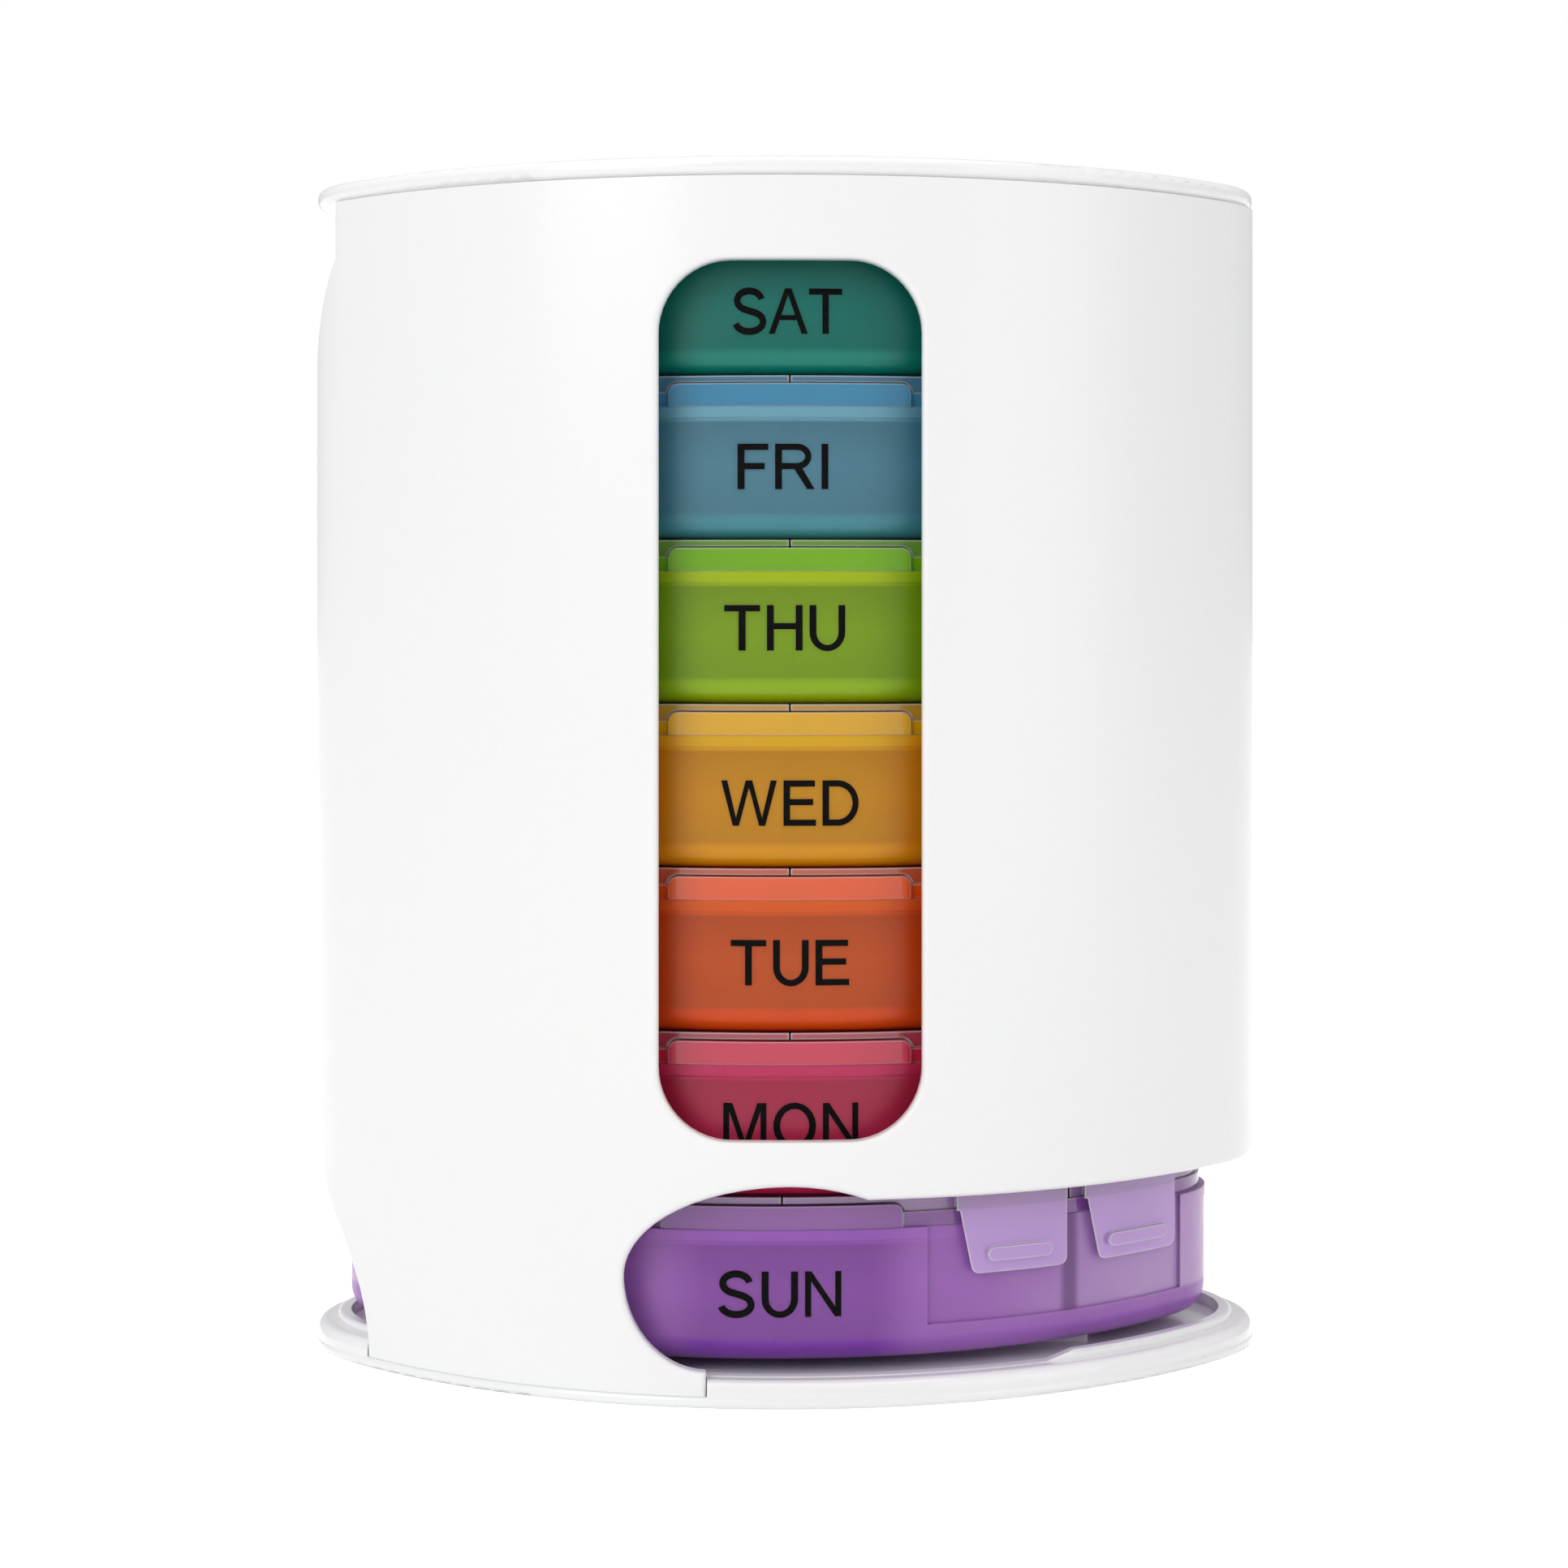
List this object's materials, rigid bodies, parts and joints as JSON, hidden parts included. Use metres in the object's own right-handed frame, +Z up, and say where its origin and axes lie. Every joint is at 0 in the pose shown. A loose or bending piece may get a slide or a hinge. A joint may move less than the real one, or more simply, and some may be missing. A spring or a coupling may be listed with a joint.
{
  "type": "weekly pill drawer organizer",
  "caption": "Tower-shaped weekly pill organizer: a white lens-shaped housing with a tall front window holds stacked coloured day trays; the bottom tray slides out sideways.",
  "frame": {"origin": "on the ground, under the middle of the base plate", "axes": "+Z up, -Y towards the front face with the window, +X towards the side where the bottom tray slides out"},
  "size_m": [0.1162, 0.0742, 0.142],
  "materials": {
    "white_shell": "smooth satin-gloss moulding",
    "white_base": "smooth gloss moulding",
    "clear_lids": "clear, polished",
    "day_lettering": "printed black ink",
    "sun_plastic": "frosted translucent moulding",
    "mon_plastic": "frosted translucent moulding",
    "tue_plastic": "frosted translucent moulding",
    "wed_plastic": "frosted translucent moulding",
    "thu_plastic": "frosted translucent moulding",
    "fri_plastic": "frosted translucent moulding",
    "sat_plastic": "frosted translucent moulding"
  },
  "bodies": {
    "housing": {"housing_shell": "white_shell", "base_plate": "white_base"},
    "cover": {"top_cover": "white_shell"},
    "sun_drawer": {"sun_tray": "sun_plastic", "sun_lid_frame": "clear_lids", "sun_lid_1": "clear_lids", "sun_lid_2": "clear_lids", "sun_lid_3": "clear_lids", "sun_lid_4": "clear_lids"},
    "mon_drawer": {"mon_tray": "mon_plastic", "mon_lid_frame": "clear_lids", "mon_lid_1": "clear_lids", "mon_lid_2": "clear_lids", "mon_lid_3": "clear_lids", "mon_lid_4": "clear_lids"},
    "tue_drawer": {"tue_tray": "tue_plastic", "tue_lid_frame": "clear_lids", "tue_lid_1": "clear_lids", "tue_lid_2": "clear_lids", "tue_lid_3": "clear_lids", "tue_lid_4": "clear_lids"},
    "wed_drawer": {"wed_tray": "wed_plastic", "wed_lid_frame": "clear_lids", "wed_lid_1": "clear_lids", "wed_lid_2": "clear_lids", "wed_lid_3": "clear_lids", "wed_lid_4": "clear_lids"},
    "thu_drawer": {"thu_tray": "thu_plastic", "thu_lid_frame": "clear_lids", "thu_lid_1": "clear_lids", "thu_lid_2": "clear_lids", "thu_lid_3": "clear_lids", "thu_lid_4": "clear_lids"},
    "fri_drawer": {"fri_tray": "fri_plastic", "fri_lid_frame": "clear_lids", "fri_lid_1": "clear_lids", "fri_lid_2": "clear_lids", "fri_lid_3": "clear_lids", "fri_lid_4": "clear_lids"},
    "sat_drawer": {"sat_tray": "sat_plastic", "sat_lid_frame": "clear_lids", "sat_lid_1": "clear_lids", "sat_lid_2": "clear_lids", "sat_lid_3": "clear_lids", "sat_lid_4": "clear_lids"}
  },
  "joints": [
    {"name": "sun_drawer_slide", "type": "slide", "parent": "housing", "child": "sun_drawer", "axis": [1, 0, 0], "range_m": [0, 0.116]},
    {"name": "mon_drawer_lift", "type": "slide", "parent": "housing", "child": "mon_drawer", "axis": [0, 0, 1], "range_m": [0, 0.118]},
    {"name": "tue_drawer_lift", "type": "slide", "parent": "mon_drawer", "child": "tue_drawer", "axis": [0, 0, 1], "range_m": [0, 0.099]},
    {"name": "wed_drawer_lift", "type": "slide", "parent": "tue_drawer", "child": "wed_drawer", "axis": [0, 0, 1], "range_m": [0, 0.081]},
    {"name": "thu_drawer_lift", "type": "slide", "parent": "wed_drawer", "child": "thu_drawer", "axis": [0, 0, 1], "range_m": [0, 0.062]},
    {"name": "fri_drawer_lift", "type": "slide", "parent": "thu_drawer", "child": "fri_drawer", "axis": [0, 0, 1], "range_m": [0, 0.043]},
    {"name": "sat_drawer_lift", "type": "slide", "parent": "fri_drawer", "child": "sat_drawer", "axis": [0, 0, 1], "range_m": [0, 0.024]},
    {"name": "cover_lift", "type": "slide", "parent": "sat_drawer", "child": "cover", "axis": [0, 0, 1], "range_m": [0, 0.03]}
  ]
}
